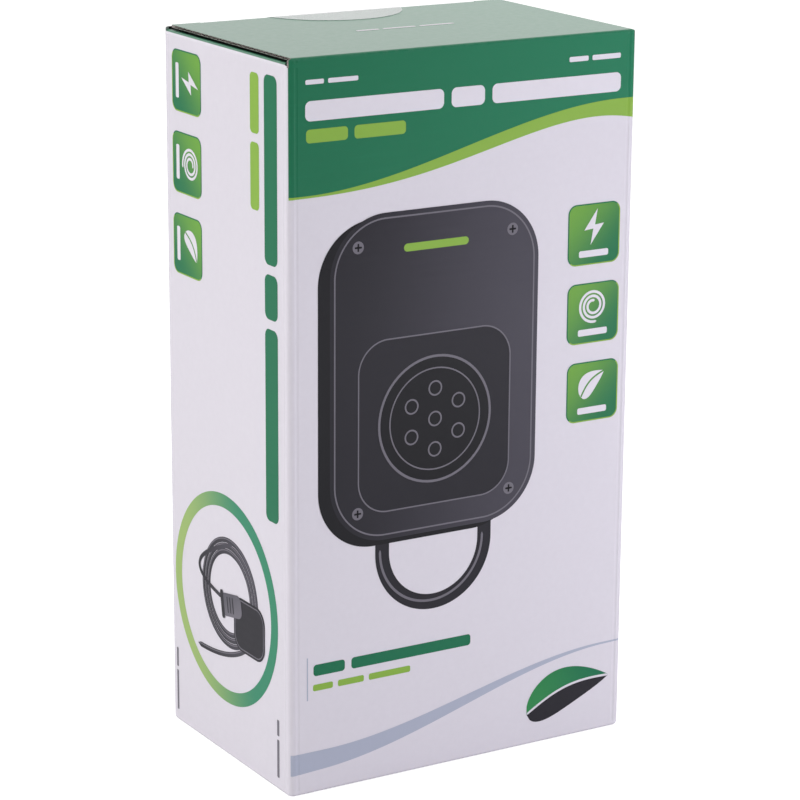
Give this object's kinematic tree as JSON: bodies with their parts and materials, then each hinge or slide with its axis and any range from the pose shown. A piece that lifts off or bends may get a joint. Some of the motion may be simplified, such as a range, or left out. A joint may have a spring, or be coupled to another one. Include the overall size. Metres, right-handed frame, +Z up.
{
  "type": "sealed retail carton for a charging plug holder",
  "caption": "Closed upright carton of printed corrugated board with a tucked lid, slit-lock shoulders, an auto-lock bottom and a clear round closing seal.",
  "frame": {"origin": "middle of the base, on the surface that the carton stands on", "axes": "+Z up, the printed front wall faces -Y, +X to the right as seen from the front"},
  "size_m": [0.14, 0.0902, 0.2601],
  "materials": {
    "printed_board": "white laminated fine-flute corrugated board with a satin print in green, lime, grey and charcoal",
    "clear_film": "clear glossy self-adhesive film"
  },
  "bodies": {
    "root": {"carton": "printed_board", "closure_seal": "clear_film"}
  },
  "joints": []
}
